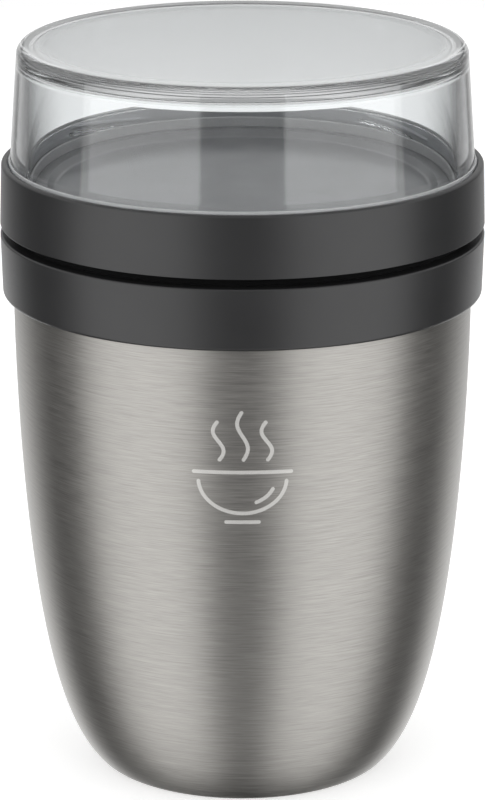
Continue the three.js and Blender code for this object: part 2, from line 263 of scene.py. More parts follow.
def give_thickness(piece, thickness):
    """Gives a turned surface its sheet, on the side away from its faces."""
    sheet = piece.modifiers.new("sheet", "SOLIDIFY")
    sheet.thickness = thickness * MM
    sheet.offset = -1
    sheet.use_even_offset = True
    sheet.use_rim = True


def set_hard(piece):
    """Turns what the piece's modifiers make into its own plain mesh."""
    bpy.context.view_layer.update()
    graph = bpy.context.evaluated_depsgraph_get()
    made = bpy.data.meshes.new_from_object(piece.evaluated_get(graph), depsgraph=graph)
    made.name = piece.name
    piece.modifiers.clear()
    piece.data = made
    made.shade_smooth()
    made.set_sharp_from_angle(angle=SHARPEST)
    return piece


def hand_over(piece, body, slot, *nodes):
    """Says what a finished piece moves with and which solids it stands for; slot is not used."""
    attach(piece, body)
    if nodes:
        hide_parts(*nodes)


def new_finish(name, **values):
    """A material with these values on its shader, and its tree and shader."""
    material = bpy.data.materials.new(name)
    material.use_nodes = True
    tree = material.node_tree
    shader = tree.nodes["Principled BSDF"]
    for label, value in values.items():
        shader.inputs[label.replace("_", " ")].default_value = value
    return material, tree, shader


def feed(tree, shader, **sources):
    """Links outputs of a tree to the shader's inputs of these names."""
    for label, source in sources.items():
        tree.links.new(source, shader.inputs[label.replace("_", " ")])


def on_piece(tree):
    """The piece's own coordinates, in metres from the pot's foot."""
    return wired(tree, "ShaderNodeTexCoord")["Object"]


def grain(tree, scale, detail=2.0, roughness=0.5, stretch=(1, 1, 1)):
    """Noise on the piece's own coordinates, with one feature about every 1/scale metres."""
    mapped = wired(tree, "ShaderNodeMapping", on_piece(tree), None, None, stretch)[0]
    return wired(tree, "ShaderNodeTexNoise", mapped, None, scale, detail, roughness)[0]


def shaded(tree, value, dark, light):
    """A colour between two, by a grain."""
    ramp = wired(tree, "ShaderNodeValToRGB", value)[0]
    stops = ramp.node.color_ramp.elements
    stops[0].position, stops[0].color = GRAIN_LOW, (*dark, 1)
    stops[1].position, stops[1].color = GRAIN_HIGH, (*light, 1)
    return ramp


def raised(tree, shader, height, depth):
    """Gives a shader a relief of this depth in millimetres."""
    feed(tree, shader, Normal=wired(tree, "ShaderNodeBump", 1.0, depth * MM, None, height)[0])


def brushing_way(tree):
    """The direction round the axis, in which turned steel is brushed."""
    return wired(tree, "ShaderNodeTangent", direction_type="RADIAL", axis="Z")[0]


def brushed_steel():
    """Brushing round the axis: long streaks along the turn, fine across it."""
    finish, tree, shader = new_finish(
        "brushed_steel", Metallic=1.0, Anisotropic=0.5, Anisotropic_Rotation=0.25)
    math_of = sums(tree)
    streak = grain(tree, scale=90, detail=3.0, roughness=0.6, stretch=(1, 1, 45))
    scratch = grain(tree, scale=190, roughness=0.6, stretch=(1, 1, 40))
    both = math_of("MULTIPLY", math_of("ADD", streak, scratch), 0.5)
    feed(tree, shader, Base_Color=shaded(tree, both, STREAK_DARK, STREAK_LIGHT),
         Roughness=spread(tree, both, low=0.38, high=0.48), Tangent=brushing_way(tree))
    raised(tree, shader, both, depth=0.004)
    return finish


turning = turning_tree()
vessel = vessel_tree(turning)
wall_rule = dict(
    Radius=WALL_RADIUS * MM, Foot=FOOT_RADIUS * MM, Height=WALL_HEIGHT * MM,
    Side_Power=SIDE_POWER, Foot_Power=FOOT_POWER)
wall_marks = [(row / WALL_ROWS) ** FOOT_CROWDING for row in range(WALL_ROWS + 1)]


def vessel_outline(name, start, end_corners):
    """A vessel wall's outline: its first point, the points that follow the rule, and its upper end."""
    end = rounded(end_corners)[1:]
    points = [Vector(start)] + [Vector(end_corners[0])] * len(wall_marks) + end
    marks = [OFF_WALL] + wall_marks + [OFF_WALL] * len(end)
    return outline_object(name, points, False, on_wall=marks)


outer_wall = vessel_outline("outer_wall", (FOOT_INNER, 0), [
    (WALL_RADIUS, WALL_HEIGHT),
    (WALL_RADIUS, SHOULDER, SHOULDER_ROUND),
    (STEEL_NECK, SHOULDER, SHOULDER_ROUND),
    (STEEL_NECK, LIP_UNDERSIDE),
])
fit_rule(outer_wall, vessel, Steps=VESSEL_STEPS, Overrun=FOOT_OVERRUN, Inset=0.0, Floor=0.0,
         Floor_Bend=FOOT_BEND * MM, Finish=brushed_steel(), **wall_rule)
give_thickness(outer_wall, SHEET)
set_hard(outer_wall)
hand_over(outer_wall, "pot", "brushed_steel", "outer_shell")

# Mark on the steel
# A plain drawing of a bowl with steam over it, etched on the front of the wall by a laser.
# The frosted strokes have round ends, follow the wall and scatter more light than the brushing.

MARK_CENTRE = 82.6
STROKE_WIDTH = 0.82
STROKE_DEPTH = 0.07
STROKE_STEP = 0.12
BLUNTNESS = 1.02  # above 1, the round ends keep a little width at their tips
BOWL_HALF = 9.6
BOWL_RIM = -2.6
BOWL_DEPTH = 7.6
BOWL_LIP_HALF = 11.0
BOWL_LIP = -0.9
BOWL_FOOT_HALF = 4.0
BOWL_FOOT = -12.2
SHINE_SIZE = 0.74
SHINE_ENDS = 0.62, 0.9
STEAM_SPACING = 5.2
STEAM_LOW = 1.6
STEAM_RISE = 9.0
STEAM_MIDDLE_RISE = 11.2
STEAM_SWAY = 1.15
DRAWN_STEPS = 48
FROST_DARK = 0.6, 0.59, 0.57
FROST_LIGHT = 0.72, 0.71, 0.69


def stroke_tree():
    """Strokes drawn flat get a width and round ends, and are laid on the front of the wall."""
    tree, given = rule_tree(
        "strokes_on_the_wall", Strokes="Geometry", Step="Float", Width="Float", Depth="Float",
        Centre="Float", Radius="Float", Foot="Float", Height="Float", Side_Power="Float",
        Foot_Power="Float", Finish="Material")
    math_of = sums(tree)
    line = wired(tree, "GeometryNodeMeshToCurve", given["Strokes"])[0]
    even = wired(tree, "GeometryNodeResampleCurve", line, None, None, given["Step"], mode="LENGTH")[0]
    level = wired(tree, "GeometryNodeSetCurveNormal", even, mode="Z_UP")[0]
    along = wired(tree, "GeometryNodeSplineParameter")["Length"]
    whole = wired(tree, "GeometryNodeSplineLength")["Length"]
    to_end = math_of("MINIMUM", along, math_of("SUBTRACT", whole, along))
    half = math_of("MULTIPLY", given["Width"], 0.5)
    outside = math_of("MAXIMUM", math_of("SUBTRACT", 1.0, math_of("DIVIDE", to_end, half)), 0.0)
    squared = math_of("MULTIPLY", outside, outside)
    round_end = math_of("SQRT", math_of("SUBTRACT", BLUNTNESS, squared))
    section = wired(tree, "GeometryNodeCurvePrimitiveQuadrilateral", given["Width"], given["Depth"])[0]
    ribbon = wired(tree, "GeometryNodeCurveToMesh", level, section, round_end, True)[0]
    x, y, z = wired(tree, "ShaderNodeSeparateXYZ", wired(tree, "GeometryNodeInputPosition")[0])
    # The wall's own rule gives its radius at each height of a stroke.
    foot = math_of("DIVIDE", 1.0, given["Foot_Power"])
    narrow = math_of("POWER", math_of("DIVIDE", given["Foot"], given["Radius"]), given["Side_Power"])
    closing = math_of("POWER", math_of("SUBTRACT", 1.0, narrow), foot)
    depth = math_of("DIVIDE", given["Height"], closing)
    height = math_of("ADD", given["Centre"], y)
    drop = math_of("DIVIDE", math_of("SUBTRACT", given["Height"], height), depth)
    cosine = math_of("SUBTRACT", 1.0, math_of("POWER", drop, given["Foot_Power"]))
    share = math_of("POWER", cosine, math_of("DIVIDE", 1.0, given["Side_Power"]))
    reach = math_of("ADD", math_of("MULTIPLY", given["Radius"], share), z)
    angle = math_of("DIVIDE", x, given["Radius"])
    across = math_of("MULTIPLY", reach, math_of("SINE", angle))
    deep = math_of("MULTIPLY", math_of("MULTIPLY", reach, math_of("COSINE", angle)), -1.0)
    spot = wired(tree, "ShaderNodeCombineXYZ", across, deep, height)[0]
    laid = wired(tree, "GeometryNodeSetPosition", ribbon, None, spot)[0]
    return close_tree(tree, laid, given["Finish"])


def frosted_steel():
    """Steel that a laser has roughened: pale, with a fine pitted skin."""
    finish, tree, shader = new_finish("frosted_steel", Metallic=1.0)
    pits = grain(tree, scale=9000, roughness=0.6)
    feed(tree, shader, Base_Color=shaded(tree, pits, FROST_DARK, FROST_LIGHT),
         Roughness=spread(tree, pits, low=0.5, high=0.62))
    raised(tree, shader, pits, depth=0.004)
    return finish


def drawn(name, strokes):
    """Open strokes in the flat, given in millimetres, as one mesh of edges."""
    points = [(x * MM, y * MM, 0) for stroke in strokes for x, y in stroke]
    edges, first = [], 0
    for stroke in strokes:
        edges += [(first + i, first + i + 1) for i in range(len(stroke) - 1)]
        first += len(stroke)
    return line_object(name, points, edges)


shares = [step / DRAWN_STEPS for step in range(DRAWN_STEPS + 1)]


def bowl_curve(size, start, end):
    """A stretch of the bowl's half round, from its left (0) to its right (1)."""
    half, depth = BOWL_HALF * size, BOWL_DEPTH * size
    turns = [math.pi * (start + (end - start) * share) for share in shares]
    return [(-half * math.cos(turn), BOWL_RIM - depth * math.sin(turn)) for turn in turns]


def level_line(half, height):
    """A level line, as long on both sides of the middle."""
    return [(half * (2 * share - 1), height) for share in shares]


def steam(x, rise):
    """A wavy line of steam."""
    return [(x + STEAM_SWAY * math.sin(math.tau * share), STEAM_LOW + rise * share) for share in shares]


mark = drawn("steel_mark", [
    bowl_curve(1.0, 0.0, 1.0),
    bowl_curve(SHINE_SIZE, *SHINE_ENDS),
    level_line(BOWL_LIP_HALF, BOWL_LIP),
    level_line(BOWL_FOOT_HALF, BOWL_FOOT),
    steam(-STEAM_SPACING, STEAM_RISE),
    steam(0, STEAM_MIDDLE_RISE),
    steam(STEAM_SPACING, STEAM_RISE),
])
fit_rule(mark, stroke_tree(), Step=STROKE_STEP * MM, Width=STROKE_WIDTH * MM, Depth=STROKE_DEPTH * MM,
         Centre=MARK_CENTRE * MM, Finish=frosted_steel(), **wall_rule)
set_hard(mark)
hand_over(mark, "pot", "satin_steel")

# Steel liner
# The inner wall of the vacuum vessel, drawn from one sheet with a rounded floor and a rolled lip.
# It is welded to the neck under the lip and electropolished on the food side.

LINER_INSET = 3.8
LINER_FLOOR = 7.3
LINER_BEND = 6.0
LINER_RADIUS = 46.9
LIP_RADIUS = 49.0
LIP_ROUND = 0.5
LINER_DARK = 0.5, 0.49, 0.47
LINER_LIGHT = 0.6, 0.59, 0.57


def satin_steel():
    """Electropolished sheet with the faint rings of spinning."""
    finish, tree, shader = new_finish(
        "satin_steel", Metallic=1.0, Anisotropic=0.35, Anisotropic_Rotation=0.25)
    rings = grain(tree, scale=40, stretch=(1, 1, 20))
    feed(tree, shader, Base_Color=shaded(tree, rings, LINER_DARK, LINER_LIGHT),
         Roughness=spread(tree, rings, low=0.18, high=0.27), Tangent=brushing_way(tree))
    raised(tree, shader, rings, depth=0.003)
    return finish


liner_finish = satin_steel()
liner = vessel_outline("liner", (0, LINER_FLOOR), [
    (LINER_RADIUS, WALL_HEIGHT),
    (LINER_RADIUS, LIP_UNDERSIDE, LIP_ROUND),
    (LIP_RADIUS, LIP_UNDERSIDE),
])
fit_rule(liner, vessel, Steps=VESSEL_STEPS, Overrun=1.0, Inset=LINER_INSET * MM,
         Floor=LINER_FLOOR * MM, Floor_Bend=LINER_BEND * MM, Finish=liner_finish, **wall_rule)
give_thickness(liner, SHEET)
set_hard(liner)
hand_over(liner, "pot", "satin_steel", "inner_liner")

# Base of the vessel
# A pressed plate closes the foot, with a bead of glass solder over the pump-out hole.
# A spun steel disc is glued over it in the foot ring; the getter pill sits inside the vacuum.

BASE_PAN = 2.5
BASE_PAN_RADIUS = 27.5
BASE_STEP_RADIUS = 29.0
BASE_RADIUS = 30.6
BASE_ROUND = 0.6
PUMP_HOLE = 1.0
DIMPLE = 3.9
DIMPLE_RADIUS = 4.0
DIMPLE_SLOPE = 0.8
DIMPLE_ROUND = 0.4
DISC_RADIUS = 27.2
DISC_LOW = 2.0
DISC_EDGE = 0.18
DISH = 2.2
DISH_RADIUS = 9.0
DISH_SLOPE = 0.4
DISH_ROUND = 0.3
DISC_DARK = 0.46, 0.45, 0.43
DISC_LIGHT = 0.6, 0.59, 0.57
DISC_RINGS = 5200  # turning marks in a metre
GETTER_DARK = 0.16, 0.14, 0.12
GETTER_LIGHT = 0.3, 0.27, 0.23
SOLDER_DARK = 0.1, 0.11, 0.12
SOLDER_LIGHT = 0.2, 0.21, 0.22
PART_STEPS = 192


def from_axis(tree):
    """The distance of a place on the piece from the pot's axis."""
    flat = wired(tree, "ShaderNodeVectorMath", on_piece(tree), (1, 1, 0), operation="MULTIPLY")[0]
    return wired(tree, "ShaderNodeVectorMath", flat, operation="LENGTH")["Value"]


def spun_steel():
    """A disc faced on a lathe: fine rings about its centre."""
    finish, tree, shader = new_finish(
        "spun_steel", Metallic=1.0, Anisotropic=0.7, Anisotropic_Rotation=0.25)
    fine = sums(tree)("MULTIPLY", from_axis(tree), DISC_RINGS)
    rings = wired(tree, "ShaderNodeTexNoise", None, fine, 1.0, 2.0, noise_dimensions="1D")[0]
    feed(tree, shader, Base_Color=shaded(tree, rings, DISC_DARK, DISC_LIGHT),
         Roughness=spread(tree, rings, low=0.25, high=0.38), Tangent=brushing_way(tree))
    raised(tree, shader, rings, depth=0.003)
    return finish


def sintered(name, dark, light, metallic, rough):
    """A pressed or melted lump: coarse grain in colour and relief."""
    finish, tree, shader = new_finish(name, Metallic=metallic)
    lumps = grain(tree, scale=2200, detail=4.0, roughness=0.6)
    feed(tree, shader, Base_Color=shaded(tree, lumps, dark, light),
         Roughness=spread(tree, lumps, low=rough, high=rough + 0.2))
    raised(tree, shader, lumps, depth=0.06)
    return finish


def turned_piece(name, corners, finish, closed=True, steps=PART_STEPS, threads=None, **marks):
    """Turns a moulded or pressed piece from its outline, with threads where it has them."""
    points = rounded(corners) if not marks else corners
    piece = outline_object(name, points, closed, **marks)
    plain = dict(Starts=1.0, Lead=1.0, Ridge_Arc=1.0, Ridge_Width=1.0)
    fit_rule(piece, turning, Steps=steps, Finish=finish, **(threads or plain))
    return piece


def recoat(node, finish):
    """Gives a solid that stays in view its own finish."""
    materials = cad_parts[node].data.materials
    materials.clear()
    materials.append(finish)


base_plate = turned_piece("base_plate", [
    (PUMP_HOLE, DIMPLE),
    (DIMPLE_RADIUS, DIMPLE, DIMPLE_ROUND),
    (DIMPLE_RADIUS + DIMPLE_SLOPE, BASE_PAN, DIMPLE_ROUND),
    (BASE_PAN_RADIUS, BASE_PAN, BASE_ROUND),
    (BASE_STEP_RADIUS, SHEET, BASE_ROUND),
    (BASE_RADIUS, SHEET),
], liner_finish, closed=False)
give_thickness(base_plate, SHEET)
set_hard(base_plate)
hand_over(base_plate, "pot", "satin_steel", "outer_base")

cover_disc = set_hard(turned_piece("cover_disc", [
    (0, DISH),
    (DISH_RADIUS, DISH, DISH_ROUND),
    (DISH_RADIUS + DISH_SLOPE, DISC_LOW, DISH_ROUND),
    (DISC_RADIUS, DISC_LOW, DISC_EDGE),
    (DISC_RADIUS, BASE_PAN, DISC_EDGE / 2),
    (0, BASE_PAN),
], spun_steel(), closed=False))
hand_over(cover_disc, "pot", "brushed_steel", "base_disc")

recoat("getter", sintered("sintered_getter", GETTER_DARK, GETTER_LIGHT, metallic=0.8, rough=0.6))
recoat("vacuum_bead", sintered("glass_solder", SOLDER_DARK, SOLDER_LIGHT, metallic=0.0, rough=0.15))

# Collar
# A dark moulded ring clipped over the steel's shoulder, with the threaded neck for the lid.
# Its skirt stands a little proud of the steel; a silicone ring seals it to the neck.

COLLAR_TOP = 122.7
COLLAR_RADIUS = 53.45
COLLAR_LOW_RADIUS = 53.05
COLLAR_BORE = 51.0
COLLAR_WEB = 120.3
NECK_RADIUS = 50.2
NECK_BORE = 48.1
NECK_ROOT = 0.4
GASKET_WALL = 49.2
GASKET_SEAT = 126.8
RING_EDGE = 0.8
COLLAR_EDGE = 0.45
BREAK = 0.15  # edges that are only broken, on both rings and on the seals
THREAD_STARTS = 4.0
THREAD_LEAD = 24.0
RIDGE_WIDTH = 0.95
RIDGE_CREST = 0.72
NECK_RIDGE_START = 123.9
NECK_RIDGE_ARC = 50 / 360
NECK_PLAIN = 0.5  # the neck's threaded rows start this far above the ledge
THREAD_ROW = 0.12
THREAD_STEPS = 288
FACE_ROOM = 0.1  # room left where rows stop short of an edge, or faces are chosen by height
COLLAR_RIBS = 12
RIB_THICKNESS = 1.4
RIB_INNER = 49.6
RIB_REACH = 1.7
RIB_LOW = 112.9
RIB_HEIGHT = 7.6
RING_TONE = 0.0165
NECK_SHADE_TONE = 0.006
PLASTIC_TINT = 1.0, 1.0, 1.05
CLOUD_TONES = 0.9, 1.1  # the darkest and the lightest clouds, as shares of a tone
PLASTIC_IOR = 1.56
SKIN_SCALE = 5200
SKIN_RELIEF = 0.005
SEAL_DARK = 0.4, 0.4, 0.407
SEAL_LIGHT = 0.48, 0.48, 0.487
SILICONE_IOR = 1.41


def dark_plastic(name, tone, skin_scale, relief, rough, gloss=0.5):
    """Moulded polypropylene, with a fine spark-eroded grain or a smooth skin."""
    finish, tree, shader = new_finish(name, IOR=PLASTIC_IOR, Specular_IOR_Level=gloss)
    skin = grain(tree, skin_scale, roughness=0.55)
    cloud = grain(tree, scale=90)
    dark, light = (tuple(tone * share * tint for tint in PLASTIC_TINT) for share in CLOUD_TONES)
    feed(tree, shader, Base_Color=shaded(tree, cloud, dark, light),
         Roughness=spread(tree, skin, low=rough - 0.05, high=rough + 0.05))
    raised(tree, shader, skin, relief)
    return finish


def silicone():
    """Matt moulded silicone rubber with a dusting of fine specks."""
    finish, tree, shader = new_finish("silicone", IOR=SILICONE_IOR)
    specks = grain(tree, scale=2600, detail=3.0, roughness=0.6)
    feed(tree, shader, Base_Color=shaded(tree, specks, SEAL_DARK, SEAL_LIGHT),
         Roughness=spread(tree, specks, low=0.5, high=0.65))
    raised(tree, shader, specks, depth=0.01)
    return finish


def threaded_outline(parts):
    """Joins outline stretches; a stretch marked as threaded is cut into rows for its ridges."""
    points, marks = [], []
    for corners, threaded in parts:
        if threaded:
            (radius, start), (_, end) = corners
            rows = round(abs(end - start) / THREAD_ROW)
            corners = [Vector((radius, start + (end - start) * row / rows)) for row in range(rows + 1)]
        points += corners
        marks += [float(threaded)] * len(corners)
    return points, marks


def ridges(start, angle, arc, crest):
    """The thread's inputs: heights in millimetres, angle and arc in turns."""
    return dict(
        Starts=THREAD_STARTS, Lead=THREAD_LEAD * MM, Ridge_Start=start * MM, Ridge_Angle=angle,
        Ridge_Arc=arc, Ridge_Width=RIDGE_WIDTH * MM, Ridge_Crest=crest * MM)


def give_finish(piece, finish, chosen):
    """Gives a second finish to the faces that are chosen by their radius and height in millimetres."""
    piece.data.materials.append(finish)
    for face in piece.data.polygons:
        across, deep, height = face.center / MM
        if chosen(math.hypot(across, deep), height):
            face.material_index = len(piece.data.materials) - 1


plastic = dark_plastic("dark_plastic", RING_TONE, SKIN_SCALE, SKIN_RELIEF, rough=0.38)
# The neck is a darker, duller copy of the ring's plastic: painted shade for the dark gap under the lid
# ring.
painted_shade_neck = dark_plastic("painted_shade_neck", NECK_SHADE_TONE, SKIN_SCALE, SKIN_RELIEF, rough=0.7, gloss=0.08)
rubber = silicone()
collar_profile = rounded([
    (NECK_RADIUS, LIP_UNDERSIDE, RING_EDGE),
    (GASKET_WALL, LIP_UNDERSIDE),
    (GASKET_WALL, GASKET_SEAT),
    (NECK_BORE, GASKET_SEAT),
    (NECK_BORE, COLLAR_WEB),
    (COLLAR_BORE, COLLAR_WEB),
    (COLLAR_BORE, WALL_HEIGHT, BREAK),
    (COLLAR_LOW_RADIUS, WALL_HEIGHT, RING_EDGE),
    (COLLAR_RADIUS, COLLAR_TOP, COLLAR_EDGE),
    (NECK_RADIUS, COLLAR_TOP, NECK_ROOT),
])
neck_thread_top = LIP_UNDERSIDE - RING_EDGE - FACE_ROOM
collar_points, collar_marks = threaded_outline([
    (((NECK_RADIUS, COLLAR_TOP + NECK_PLAIN), (NECK_RADIUS, neck_thread_top)), True),
    (collar_profile, False),
])
collar = set_hard(turned_piece(
    "collar", collar_points, plastic, steps=THREAD_STEPS, threaded=collar_marks,
    threads=ridges(NECK_RIDGE_START, 0.0, NECK_RIDGE_ARC, RIDGE_CREST)))
# Faces above the collar's top, the neck in the gap under the lid, get the painted shade copy.
give_finish(collar, painted_shade_neck, lambda radius, height: height > COLLAR_TOP + FACE_ROOM)
hand_over(collar, "pot", "dark_plastic", "neck_collar")
recoat("collar_gasket", rubber)


def rib_tree():
    """Ribs set round a circle, each with its long side along the radius."""
    tree, given = rule_tree(
        "ribs_round_a_circle", Outline="Geometry", Count="Int", Inner="Float", Reach="Float",
        Thickness="Float", Low="Float", Height="Float", Finish="Material")
    math_of = sums(tree)
    middle = math_of("ADD", given["Inner"], math_of("MULTIPLY", given["Reach"], 0.5))
    ring = wired(tree, "GeometryNodeMeshCircle", given["Count"], middle)[0]
    level = math_of("ADD", given["Low"], math_of("MULTIPLY", given["Height"], 0.5))
    lift = wired(tree, "ShaderNodeCombineXYZ", 0.0, 0.0, level)[0]
    lifted = wired(tree, "GeometryNodeTransform", ring, lift)[0]
    size = wired(tree, "ShaderNodeCombineXYZ", given["Reach"], given["Thickness"], given["Height"])[0]
    rib = wired(tree, "GeometryNodeMeshCube", size, 2, 2, 2)[0]
    x, y, _ = wired(tree, "ShaderNodeSeparateXYZ", wired(tree, "GeometryNodeInputPosition")[0])
    facing = wired(tree, "ShaderNodeCombineXYZ", 0.0, 0.0, math_of("ARCTAN2", y, x))[0]
    set_out = wired(tree, "GeometryNodeInstanceOnPoints", lifted, None, rib, None, None, facing)[0]
    return close_tree(tree, set_out, given["Finish"])


ribs = outline_object("collar_ribs", [(0, 0), (1, 0)], False)
fit_rule(ribs, rib_tree(), Count=COLLAR_RIBS, Inner=RIB_INNER * MM, Reach=RIB_REACH * MM,
         Thickness=RIB_THICKNESS * MM, Low=RIB_LOW * MM, Height=RIB_HEIGHT * MM, Finish=plastic)
set_hard(ribs)
hand_over(ribs, "pot", "dark_plastic")

# Lid
# One dark moulding: a ring in line with the collar, a tray floor and a lip that takes the cup.
# A cup-shaped plug, welded under the floor and filled with foam, keeps the heat in.
# A silicone ring round the plug seals the lid on the liner's lip.

LID_BOTTOM = 124.8
LID_LOW_EDGE = 0.12
LID_TOP = 138.4
LID_BORE = 51.3
LID_UNDERSIDE = 130.2
LIP_BORE = 51.75
LIP_BREAK = 0.2
CHANNEL = 132.9
CHANNEL_ROUND = 0.1
TRAY_RIM = 133.5
TRAY_RIM_OUTER = 46.34
TRAY_RIM_INNER = 43.24
TRAY_RADIUS = 41.74
TRAY_FLOOR = 132.1
TRAY_BEND = 1.4
LID_RIDGE_DROP = 1.3  # the lid's ridges run this far below the neck's
LID_RIDGE_LOW = 125.35
LID_RIDGE_ARC = 44 / 360
LID_PLAIN = 0.3  # threaded rows and the points beside them keep this far from the lid's corners
LIP_RIDGE_START = 135.6
LIP_RIDGE_ANGLE = 28 / 360
LIP_RIDGE_ARC = 26 / 360
LIP_RIDGE_CREST = 0.68
LIP_RIDGE_RISE = 1.6  # the lip's threaded rows start this far above the channel
LIP_SKIN = 0.02  # the lip's threads stand this far out of the ring, and sink into it by LIP_SINK
LIP_SINK = 0.3
PLUG_RADIUS = 44.6
PLUG_BOTTOM = 121.2
PLUG_EDGE = 1.5
PLUG_BORE = 43.0
PLUG_BORE_EDGE = 0.5
PLUG_WALL = 1.6
BEAD_RADIUS = 45.4
BEAD_FOOT = 127.1
BEAD_LOW = 127.7
BEAD_TOP = 128.3
BEAD_FOOT_ROUND = 0.2
BEAD_ROUND = 0.25
BEAD_ROOT = 0.1
SEAL_INNER = 44.9
SEAL_OUTER = 49.4
SEAL_LOW = 128.6
SEAL_LOW_ROUND = 0.35
SEAL_ROUND = 0.3
GROOVE_RADIUS = 48.6
GROOVE_HEIGHT = 129.4
GROOVE_HALF = 0.2
GROOVE_ROUND = 0.2
TRAY_LIT_TONE = 0.15
LIP_LIT_TONE = 0.6
SMOOTH_SCALE = 120
SMOOTH_RELIEF = 0.0008
FOAM_DARK = 0.62, 0.6, 0.54
FOAM_LIGHT = 0.84, 0.82, 0.76
FOAM_CELLS = 1900.0  # in a metre

# The tray is a lighter copy of the lid's dark plastic: painted light for the light that falls on it
# through the clear cup.
painted_light_tray = dark_plastic("polished_tray_painted_light", TRAY_LIT_TONE, SMOOTH_SCALE, SMOOTH_RELIEF, rough=0.22)
# The lip is a much lighter copy of the dark plastic: painted light for the light that the clear cup
# carries onto the lip.
painted_light_lip = dark_plastic("satin_lip_painted_light", LIP_LIT_TONE, SMOOTH_SCALE, SMOOTH_RELIEF, rough=0.4)
skirt_angle = (LID_RIDGE_LOW + LID_RIDGE_DROP - NECK_RIDGE_START) / THREAD_LEAD
ring_profile = rounded([
    (LID_BORE, LID_UNDERSIDE),
    (LID_BORE, LID_BOTTOM, BREAK),
    (COLLAR_RADIUS, LID_BOTTOM, LID_LOW_EDGE),
    (COLLAR_LOW_RADIUS, LID_TOP, RING_EDGE),
    (LIP_BORE, LID_TOP, LIP_BREAK),
    (LIP_BORE, CHANNEL, BREAK),
    (TRAY_RIM_OUTER, CHANNEL, CHANNEL_ROUND),
    (TRAY_RIM_OUTER, TRAY_RIM, BREAK),
    (TRAY_RIM_INNER, TRAY_RIM, BREAK),
    (TRAY_RADIUS, TRAY_FLOOR, TRAY_BEND),
    (0, TRAY_FLOOR),
    (0, LID_UNDERSIDE),
])[1:-1]
lid_points, lid_marks = threaded_outline([
    ([Vector((0, LID_UNDERSIDE)), Vector((LID_BORE - LID_PLAIN, LID_UNDERSIDE))], False),
    (((LID_BORE, LID_UNDERSIDE), (LID_BORE, LID_BOTTOM + LID_PLAIN)), True),
    (ring_profile, False),
])
lid_ring = set_hard(turned_piece(
    "lid_ring", lid_points, plastic, closed=False, steps=THREAD_STEPS, threaded=lid_marks,
    threads=ridges(LID_RIDGE_LOW, skirt_angle, LID_RIDGE_ARC, -RIDGE_CREST)))
# The inside of the ring above the tray floor gets the tray's lighter copy: painted light.
give_finish(lid_ring, painted_light_tray, lambda radius, height: (
    height > TRAY_FLOOR - FACE_ROOM and radius < LIP_BORE))
hand_over(lid_ring, "lid", "dark_plastic", "lid_shell")

lip_thread_radius = LIP_BORE - LIP_SKIN
lip_thread_back = LIP_BORE + LIP_SINK
lip_thread_low = CHANNEL + LIP_RIDGE_RISE
lip_thread_top = LID_TOP - LID_PLAIN
lip_points, lip_marks = threaded_outline([
    (((lip_thread_radius, lip_thread_top), (lip_thread_radius, lip_thread_low)), True),
    ([Vector((lip_thread_back, lip_thread_low)), Vector((lip_thread_back, lip_thread_top))], False),
])
# The lip's threads get the light copy: painted light.
lip_threads = set_hard(turned_piece(
    "lip_threads", lip_points, painted_light_lip, steps=THREAD_STEPS, threaded=lip_marks,
    threads=ridges(LIP_RIDGE_START, LIP_RIDGE_ANGLE, LIP_RIDGE_ARC, -LIP_RIDGE_CREST)))
hand_over(lip_threads, "lid", "dark_plastic")

plug = set_hard(turned_piece("lid_plug", [
    (0, PLUG_BOTTOM),
    (PLUG_RADIUS, PLUG_BOTTOM, PLUG_EDGE),
    (PLUG_RADIUS, BEAD_FOOT, BEAD_FOOT_ROUND),
    (BEAD_RADIUS, BEAD_LOW, BEAD_ROUND),
    (BEAD_RADIUS, BEAD_TOP, BEAD_ROUND),
    (PLUG_RADIUS, BEAD_TOP, BEAD_ROOT),
    (PLUG_RADIUS, LID_UNDERSIDE),
    (PLUG_BORE, LID_UNDERSIDE),
    (PLUG_BORE, PLUG_BOTTOM + PLUG_WALL, PLUG_BORE_EDGE),
    (0, PLUG_BOTTOM + PLUG_WALL),
], plastic, closed=False))
hand_over(plug, "lid", "dark_plastic", "lid_underplate")


def open_foam():
    """Cut foam: cells about half a millimetre across."""
    finish, tree, shader = new_finish("open_foam", Roughness=0.95)
    cells = wired(tree, "ShaderNodeTexVoronoi", on_piece(tree), None, FOAM_CELLS)[0]
    feed(tree, shader, Base_Color=shaded(tree, cells, FOAM_DARK, FOAM_LIGHT))
    raised(tree, shader, cells, depth=0.25)
    return finish


recoat("insulation_disc", open_foam())

pot_seal = set_hard(turned_piece("pot_seal", [
    (SEAL_INNER, SEAL_LOW, SEAL_ROUND),
    (SEAL_OUTER, SEAL_LOW, SEAL_LOW_ROUND),
    (SEAL_OUTER, GROOVE_HEIGHT - GROOVE_HALF, GROOVE_ROUND),
    (GROOVE_RADIUS, GROOVE_HEIGHT, GROOVE_ROUND),
    (SEAL_OUTER, GROOVE_HEIGHT + GROOVE_HALF, GROOVE_ROUND),
    (SEAL_OUTER, LID_UNDERSIDE, SEAL_ROUND),
    (SEAL_INNER, LID_UNDERSIDE, SEAL_ROUND),
], rubber))
hand_over(pot_seal, "pot_seal", "silicone", "pot_gasket")

# Clear cup
# Injection-moulded clear plastic, upside down on the lid with its rim on a silicone ring.
# A stop flange rests in the lid's lip and short threads below it hold the cup down.

